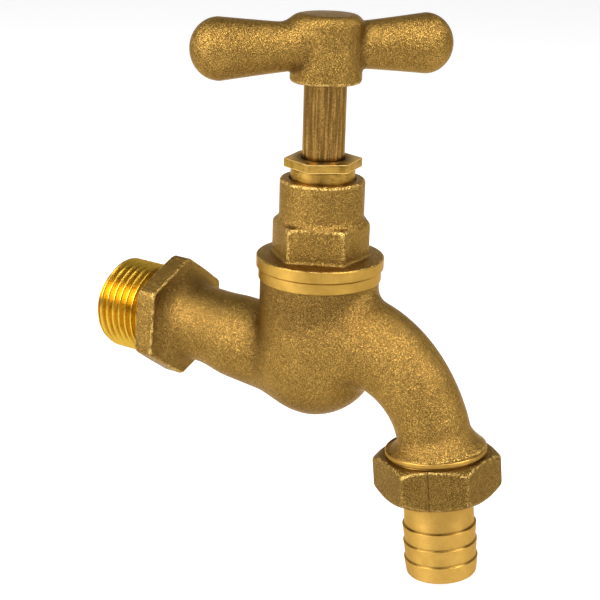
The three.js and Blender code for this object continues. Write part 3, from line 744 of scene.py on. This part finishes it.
# Near-black painted shade for the gaps round the gland's shank and in its bore.
GAP_SHADE = dull_material("gland_gap_shade", (0.055, 0.032, 0.012), (0.025, 0.015, 0.006), 0.7, 1.5)
STEM = stem_material()
FIBRE = dull_material("fibre_sheet", (0.20, 0.085, 0.035), (0.12, 0.05, 0.02), 0.85, 1.6)
GRAPHITE = dull_material("graphite_yarn", (0.05, 0.05, 0.052), (0.02, 0.02, 0.021), 0.6, 2.2)
RUBBER = dull_material("rubber_black", (0.022, 0.022, 0.022), (0.012, 0.012, 0.012), 0.72, 1.2)


# ---------------------------------------------------------------- pieces

def tap_body():
    cast = surface_net(body_field, (INLET_X - 0.7, -14.3, -21.5),
                       (BEND_X + BEND_R + 12, 14.3, COLLAR_BOTTOM + 1.2), 0.44)
    piece = mesh_object("tap_body_visual", cast, CAST)
    minor = THREAD_PITCH_R - 0.58
    spigot = [(0, -INLET_HEX_LENGTH + 0.6), (minor, -INLET_HEX_LENGTH + 0.6), (minor, 0.45), (10.2, 0.55),
              (10.35, 0.7), (10.35, 1.35), (10.0, 1.5)]
    spigot += [(THREAD_R, z) for z in thread_profile(1.55, INLET_LENGTH, THREAD_PITCH / 26)]
    spigot += [(0, INLET_LENGTH)]
    inlet_shape = thread(THREAD_R, minor, THREAD_PITCH, 1.55, INLET_LENGTH, phase=0.1, lead=0.75)
    collar = lathe([(0, 10), (GLOBE_R - 0.9, 10), (GLOBE_R - 0.9, COLLAR_BOTTOM),
                    (COLLAR_R - 0.22, COLLAR_BOTTOM), (COLLAR_R, COLLAR_BOTTOM + 0.22),
                    (COLLAR_R, COLLAR_TOP - 0.16), (COLLAR_R - 0.16, COLLAR_TOP), (0, COLLAR_TOP)],
                   sides=160)
    rim = [(0, RIM_HEIGHT - 0.35), (RIM_R - 0.24, RIM_HEIGHT - 0.35), (RIM_R - 0.2, RIM_HEIGHT),
           (RIM_R - 0.1, RIM_HEIGHT - 0.03), (RIM_R, RIM_HEIGHT - 0.18), (RIM_R, 0.12), (RIM_R - 0.12, 0.0)]
    spigot_r = THREAD_PITCH_R + 0.38
    rim += [(spigot_r, z) for z in thread_profile(-0.02, -OUTLET_THREAD_LENGTH, -0.12)]
    rim += [(0, -OUTLET_THREAD_LENGTH)]
    outlet_shape = thread(spigot_r, spigot_r - 0.95, THREAD_PITCH, -OUTLET_THREAD_LENGTH, 0.0,
                          lead=0.001, runout=0.7)
    chamber = [(SEAT_LIP_R, CHAMBER_FLOOR), (CHAMBER_R, CHAMBER_FLOOR), (CHAMBER_R, SKIRT_BOTTOM - 1),
               (NECK_BORE_R, SKIRT_BOTTOM - 1), (NECK_BORE_R, COLLAR_TOP + 1), (0, COLLAR_TOP + 1),
               (0, SEAT_TOP), (SEAT_LIP_R - 0.4, SEAT_TOP)]
    under = [(0, UNDER_BOTTOM), (5.2, UNDER_BOTTOM + 1.2), (UNDER_R, UNDER_TOP - 3), (UNDER_R, UNDER_TOP),
             (0, UNDER_TOP)]
    bore_top = BEND_R * math.radians(62)
    spout_bore = [(0, -OUTLET_THREAD_LENGTH - 1), (SPOUT_BORE_R, -OUTLET_THREAD_LENGTH - 1)]
    spout_bore += [(SPOUT_BORE_R, bore_top * i / 20) for i in range(21)] + [(0, bore_top)]
    dive = sinking(5, 16, 5.6)
    mouth = [(0, INLET_LENGTH - 0.6), (INLET_BORE_R, INLET_LENGTH - 0.6),
             (INLET_BORE_R + 0.7, INLET_LENGTH + 0.1), (0, INLET_LENGTH + 0.1)]
    return cut_and_join(piece, [
        ("UNION", lathe(spigot, INLET, 176, shape=inlet_shape), THREADED),
        ("UNION", collar, TURNED),
        ("UNION", lathe(rim, OUTLET, 128, shape=outlet_shape), TURNED_OUTLET),
        ("DIFFERENCE", bar(INLET_BORE_R, -21.2, INLET_LENGTH + 1, INLET), THREADED),
        ("DIFFERENCE", lathe(mouth, INLET), THREADED),
        ("DIFFERENCE", bar(4.7, 4, 22, dive, 48), CAST),
        ("DIFFERENCE", lathe(under, sides=64), CAST),
        ("DIFFERENCE", bar(SEAT_BORE_R, UNDER_TOP - 1, SEAT_TOP + 1, sides=64), TURNED),
        ("DIFFERENCE", lathe(chamber, closed=True), TURNED),
        ("DIFFERENCE", bar(12, COLLAR_TOP - 1.2, COLLAR_TOP + 1), TURNED),
        ("DIFFERENCE", lathe(spout_bore, Bend, 64), CAST),
    ])


def bonnet():
    cast = surface_net(bonnet_field, (-14.2, -14.2, FLANGE_TOP - 1.2), (14.2, 14.2, BONNET_TOP + 0.8), 0.27)
    piece = mesh_object("bonnet_visual", cast, CAST)
    ring = lathe([(0, SKIRT_BOTTOM), (SKIRT_R - 0.3, SKIRT_BOTTOM), (SKIRT_R, SKIRT_BOTTOM + 0.3),
                  (SKIRT_R, FLANGE_BOTTOM), (FLANGE_R - 0.12, FLANGE_BOTTOM),
                  (FLANGE_R, FLANGE_BOTTOM + 0.12), (FLANGE_R, FLANGE_TOP - 0.2),
                  (FLANGE_R - 0.2, FLANGE_TOP - 0.02), (0, FLANGE_TOP - 0.02)], sides=160)
    nut_r = SPINDLE_THREAD_R + GAP
    stem_r = STEM_R + GAP
    hollow = [(0, 9.5), (7.9, 9.5), (7.9, 15.8), (nut_r, 15.8), (nut_r, 25.2), (stem_r, 25.2),
              (stem_r, GLAND_CHAMBER_FLOOR), (GLAND_CHAMBER_R, GLAND_CHAMBER_FLOOR),
              (GLAND_CHAMBER_R, BONNET_TOP - 3), (GLAND_R + SNUG, BONNET_TOP - 2.8),
              (GLAND_R + SNUG, BONNET_TOP + 0.2), (0, BONNET_TOP + 0.2)]
    # The mouth round the gland's shank takes the near-black painted shade of the gap.
    mouth = [(0, BONNET_TOP - 0.25), (GLAND_R + SNUG + 0.02, BONNET_TOP - 0.25),
             (GLAND_R + SNUG + 0.3, BONNET_TOP + 0.1), (0, BONNET_TOP + 0.1)]
    return cut_and_join(piece, [("UNION", ring, TURNED), ("DIFFERENCE", lathe(hollow), TURNED),
                                ("DIFFERENCE", lathe(mouth), GAP_SHADE)])


def gland_nut():
    corners = [(GLAND_HEX_R * math.cos(GLAND_HEX_TURN + i * math.pi / 3),
                GLAND_HEX_R * math.sin(GLAND_HEX_TURN + i * math.pi / 3)) for i in range(6)]
    plate = mesh_object("gland_nut_visual", prism(corners, GLAND_HEX_BOTTOM, GLAND_HEX_TOP),
                        GLAND_BRASS, BEVEL_HIGHLIGHT)
    bm = bmesh.new()
    bm.from_mesh(plate.data)
    bevels = bmesh.ops.bevel(bm, geom=bm.edges[:], offset=0.2 * MM, segments=2, affect="EDGES", profile=0.6)
    # The bevels called worn bright here are a painted highlight: they take the brighter brass in place of
    # the light they catch.
    for f in bevels["faces"]:  # worn bright along the top and bottom edges
        f.material_index = int(abs(f.normal.z) > 0.2)
    bm.to_mesh(plate.data)
    bm.free()
    shank = [(0, GLAND_BOTTOM)]
    shank += [(GLAND_R - 0.01, z) for z in thread_profile(GLAND_BOTTOM, 37.9)]
    shank += [(GLAND_R - 0.25, 38.0), (GLAND_R, 38.15), (GLAND_R, 40.2), (GLAND_R - 0.1, 40.3),
              (GLAND_R - 0.1, GLAND_HEX_BOTTOM + 0.5), (0, GLAND_HEX_BOTTOM + 0.5)]
    shape = thread(GLAND_R - 0.01, GLAND_R - 0.6, 1.25, GLAND_BOTTOM, 37.9, runout=0.5, lead=0.01)
    # The bore's faces take the near-black painted shade of the gap round the stem.
    bore = [(0, GLAND_BOTTOM - 1), (STEM_R + GAP, GLAND_BOTTOM - 1), (STEM_R + GAP, GLAND_HEX_BOTTOM),
            (STEM_R + SNUG, GLAND_HEX_BOTTOM + 0.4), (STEM_R + SNUG, GLAND_HEX_TOP - 0.2),
            (STEM_R + SNUG + 0.25, GLAND_HEX_TOP + 0.1), (0, GLAND_HEX_TOP + 0.1)]
    return cut_and_join(plate, [("UNION", lathe(shank, shape=shape), GLAND_BRASS),
                                ("DIFFERENCE", lathe(bore), GAP_SHADE)])


def spindle():
    foot = [(0, SPINDLE_BOTTOM), (SPINDLE_THREAD_R - 0.8, SPINDLE_BOTTOM)]
    foot += [(SPINDLE_THREAD_R, z) for z in thread_profile(SPINDLE_BOTTOM + 0.05, SPINDLE_THREAD_TOP)]
    foot += [(STEM_R - 0.05, SPINDLE_THREAD_TOP + 0.1), (STEM_R, SPINDLE_THREAD_TOP + 0.3)]
    foot += [(STEM_R, z) for z in np.linspace(24, TENON_BOTTOM - 0.2, 12)]
    foot += [(STEM_R - 0.2, TENON_BOTTOM), (0, TENON_BOTTOM)]
    shape = thread(SPINDLE_THREAD_R, SPINDLE_THREAD_R - 1.1, 2.5, SPINDLE_BOTTOM + 0.05, SPINDLE_THREAD_TOP)
    piece = mesh_object("spindle_visual", lathe(foot, sides=112, shape=shape), STEM)
    half = TENON_WIDTH / 2
    square = [(half, half), (-half, half), (-half, -half), (half, -half)]
    turn = Place((0, 0, 0), (math.cos(HANDLE_TURN), math.sin(HANDLE_TURN), 0),
                 (-math.sin(HANDLE_TURN), math.cos(HANDLE_TURN), 0), (0, 0, 1))
    return cut_and_join(piece, [
        ("UNION", prism(square, TENON_BOTTOM - 0.5, TENON_TOP, turn), STEM),
        ("DIFFERENCE", bar(JUMPER_STEM_R + GAP, SPINDLE_BOTTOM - 1, JUMPER_STEM_TOP + 2 * GAP, sides=48),
         STEM)])


def t_handle():
    reach = LONG_ARM + BALL_R + 0.8
    c, s = abs(math.cos(HANDLE_TURN)), abs(math.sin(HANDLE_TURN))
    half_x, half_y = reach * c + BALL_R * s, reach * s + BALL_R * c
    cast = surface_net(handle_field, (-half_x, -half_y, BOSS_BOTTOM - 0.8),
                       (half_x, half_y, BOSS_TOP + 0.9), 0.36)
    piece = mesh_object("t_handle_visual", cast, CAST)
    half = TENON_WIDTH / 2 + GAP
    square = [(half, half), (-half, half), (-half, -half), (half, -half)]
    turn = Place((0, 0, 0), (math.cos(HANDLE_TURN), math.sin(HANDLE_TURN), 0),
                 (-math.sin(HANDLE_TURN), math.cos(HANDLE_TURN), 0), (0, 0, 1))
    return cut_and_join(piece, [
        ("DIFFERENCE", prism(square, BOSS_BOTTOM - 1, TENON_TOP + GAP, turn), STEM),
        ("DIFFERENCE", bar(STEM_R + GAP, BOSS_BOTTOM - 1, TENON_BOTTOM + GAP), STEM)])


def union_nut():
    points = OUTLET.out(np.array([(x, y, z) for x in (-14, 14) for y in (-14, 14)
                                  for z in (-NUT_BOTTOM - 0.7, -NUT_TOP + 0.7)]))
    cast = surface_net(nut_field, points.min(0), points.max(0), 0.28)
    piece = mesh_object("union_nut_visual", cast, CAST_NUT_SHADED)
    r = THREAD_PITCH_R + 0.62
    hollow = [(0, -NUT_BOTTOM - 1), (NUT_LIP_BORE_R + 0.6, -NUT_BOTTOM - 1),
              (NUT_LIP_BORE_R + 0.4, -NUT_BOTTOM - 0.05), (NUT_LIP_BORE_R, -NUT_BOTTOM + 0.35),
              (NUT_LIP_BORE_R, -NUT_LIP_TOP), (TAIL_COLLAR_R + GAP, -NUT_LIP_TOP),
              (TAIL_COLLAR_R + GAP, -NUT_THREAD_DEPTH)]
    hollow += [(r, z) for z in thread_profile(-NUT_THREAD_DEPTH + 0.02, -NUT_TOP - 0.35)]
    hollow += [(r + 0.12, -NUT_TOP - 0.3), (r + 0.2, -NUT_TOP + 0.1), (r + 0.2, -NUT_TOP + 1),
               (0, -NUT_TOP + 1)]
    shape = thread(r, r - 0.95, THREAD_PITCH, -NUT_THREAD_DEPTH, 0.3, lead=0.001, runout=0.3)
    return cut_and_join(piece, [("DIFFERENCE", lathe(hollow, OUTLET, 128, shape=shape), TURNED_OUTLET)])


def hose_tail():
    barbs = []
    for i in range(3):
        crest = FIRST_RIDGE + i * RIDGE_PITCH
        foot = TAIL_NECK_R if i == 0 else TAIL_VALLEY_R
        barbs += [(foot, -crest + 0.40), (foot + 0.03, -crest + 0.24), (foot + 0.12, -crest + 0.15),
                  (TAIL_RIDGE_R - 0.07, -crest + 0.06), (TAIL_RIDGE_R, -crest - 0.04),
                  (TAIL_RIDGE_R - 0.03, -crest - 0.25)]
    outside = [(TAIL_COLLAR_R - 0.2, -TAIL_COLLAR_TOP), (TAIL_COLLAR_R, -TAIL_COLLAR_TOP - 0.2),
               (TAIL_COLLAR_R, -TAIL_COLLAR_BOTTOM), (TAIL_NECK_R, -TAIL_COLLAR_BOTTOM), *barbs,
               (TAIL_VALLEY_R, -TAIL_END + 0.75), (TAIL_VALLEY_R - 0.1, -TAIL_END + 0.3),
               (TAIL_END_R, -TAIL_END)]
    bore = [(TAIL_BORE_R + 0.3, -TAIL_END), (TAIL_BORE_R, -TAIL_END + 0.35), (TAIL_BORE_R, -TAIL_COLLAR_TOP)]
    return mesh_object("hose_tail_visual", lathe(outside + bore, OUTLET, 160, closed=True), TAIL_BRASS)


# The body's neck, pipe root and underside get extra painted shade.
finish_piece(tap_body(), "tap_body", "body", body_field, BODY_CAVITY,
             body_painted_shade)
finish_piece(bonnet(), "bonnet", "body", bonnet_field, BONNET_CAVITY)
finish_piece(gland_nut(), "gland_nut", "body")
finish_piece(spindle(), "spindle", "spindle")
finish_piece(t_handle(), "t_handle", "spindle", handle_field)
finish_piece(union_nut(), "union_nut", "nut", nut_field)
finish_piece(hose_tail(), "hose_tail", "tail")

# The small parts inside keep their CAD shapes under better materials.
INNER = {"bonnet_gasket": FIBRE, "gland_follower": TURNED, "packing_ring_upper": GRAPHITE,
         "packing_ring_lower": GRAPHITE, "packing_washer": TURNED, "jumper_valve": TURNED,
         "seat_washer": RUBBER, "washer_nut": TURNED, "hose_tail_gasket": RUBBER}
for name, material in INNER.items():
    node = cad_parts[name]
    if not node.material_slots:
        node.data.materials.append(None)
    for slot in node.material_slots:
        slot.link = "OBJECT"
        slot.material = material


# ---------------------------------------------------------------- camera, floor and light

def look_from(azimuth, elevation, distance):
    a, e = math.radians(azimuth), math.radians(elevation)
    return Vector((math.sin(a) * math.cos(e), -math.cos(a) * math.cos(e), math.sin(e))) * distance


AZIMUTH, ELEVATION, ROLL, DISTANCE = 34.468, 18.259, 1.5675, 300.0
ASIDE, ABOVE = -3.992, 10.713  # the picture's centre, mm from the tap's own origin
FOCAL_PIXELS, PICTURE = 1391.87, 600
FLOOR_DROP, FLOOR_SIZE = 0.0052, 4.0  # metres; the floor is below the hose tail when the union is undone
WORLD_DARK, WORLD_PALE = 0.28, 1.0


def make_camera():
    back = look_from(AZIMUTH, ELEVATION, 1.0)
    right = Vector((math.cos(math.radians(AZIMUTH)), math.sin(math.radians(AZIMUTH)), 0))
    up = back.cross(right)
    place = (Vector(ORIGIN) + right * ASIDE + up * ABOVE + back * DISTANCE) * MM
    roll = math.radians(ROLL)
    x = right * math.cos(roll) + up * math.sin(roll)
    y = up * math.cos(roll) - right * math.sin(roll)
    turn = Matrix((x, y, back)).transposed().to_4x4()
    camera = bpy.data.objects.new("camera", bpy.data.cameras.new("camera"))
    camera.matrix_world = Matrix.Translation(place) @ turn
    camera.data.sensor_width = 36
    camera.data.lens = 36 * FOCAL_PIXELS / PICTURE
    camera.data.clip_start, camera.data.clip_end = 0.01, 20
    bpy.context.scene.collection.objects.link(camera)
    bpy.context.scene.camera = camera


def softbox(name, azimuth, elevation, distance, width, height, power):
    """An area light that looks at the tap's middle."""
    light = bpy.data.lights.new(name, "AREA")
    light.shape, light.size, light.size_y = "RECTANGLE", width, height
    light.energy = power
    lamp = bpy.data.objects.new(name, light)
    target = (Vector(ORIGIN) + Vector((0, 0, 12))) * MM
    away = look_from(azimuth, elevation, distance)
    lamp.location = target + away
    lamp.rotation_mode = "QUATERNION"
    lamp.rotation_quaternion = (-away).to_track_quat("-Z", "Y")
    bpy.context.scene.collection.objects.link(lamp)


def make_floor():
    bm = bmesh.new()
    bmesh.ops.create_grid(bm, x_segments=8, y_segments=8, size=FLOOR_SIZE)
    for v in bm.verts:
        v.co.z = CAD_BOX[0].z - FLOOR_DROP
    mesh = bpy.data.meshes.new("floor")
    bm.to_mesh(mesh)
    bm.free()
    floor = bpy.data.objects.new("floor", mesh)
    bpy.context.scene.collection.objects.link(floor)
    n = Nodes("floor_pale")
    mesh.materials.append(n.finish(Base_Color=(0.45, 0.45, 0.45, 1), Roughness=0.9,
                                   Emission_Color=(1, 1, 1, 1), Emission_Strength=0.72))


def make_world():
    """A pale backdrop low behind the tap, and a darker room above and in front of it."""
    world = bpy.data.worlds.new("studio")
    bpy.context.scene.world = world
    world.use_nodes = True
    tree = world.node_tree
    tree.nodes.clear()

    def node(kind, inputs=None, **settings):
        made = tree.nodes.new("ShaderNode" + kind)
        for key, value in settings.items():
            setattr(made, key, value)
        for key, value in (inputs or {}).items():
            if isinstance(value, bpy.types.NodeSocket):
                tree.links.new(value, made.inputs[key])
            else:
                made.inputs[key].default_value = value
        return made.outputs

    where = node("TexCoord")["Generated"]
    behind = -look_from(AZIMUTH, 0, 1.0)
    facing = node("VectorMath", {0: where, 1: behind}, operation="DOT_PRODUCT")["Value"]
    height = node("SeparateXYZ", {0: where})["Z"]
    back = node("MapRange", {"Value": facing, "From Min": -0.3, "From Max": 0.7})[0]
    low = node("MapRange", {"Value": height, "From Min": 0.25, "From Max": 0.75,
                            "To Min": 1.0, "To Max": 0.0})[0]
    glow = node("Math", {0: back, 1: low}, operation="MULTIPLY")[0]
    strength = node("MapRange", {"Value": glow, "To Min": WORLD_DARK, "To Max": WORLD_PALE})[0]
    node("OutputWorld", {"Surface": node("Background", {"Strength": strength})[0]})


make_camera()
make_floor()
make_world()
softbox("key", AZIMUTH + 64, 46, 0.75, 0.30, 0.45, 5.3)
softbox("fill", AZIMUTH - 64, 34, 0.75, 0.50, 0.42, 7.4)
softbox("front", AZIMUTH + 22, 50, 0.8, 0.20, 0.30, 1.4)
softbox("top", AZIMUTH, 80, 0.8, 0.40, 0.40, 1.0)
bpy.context.scene.view_settings.view_transform = "Standard"
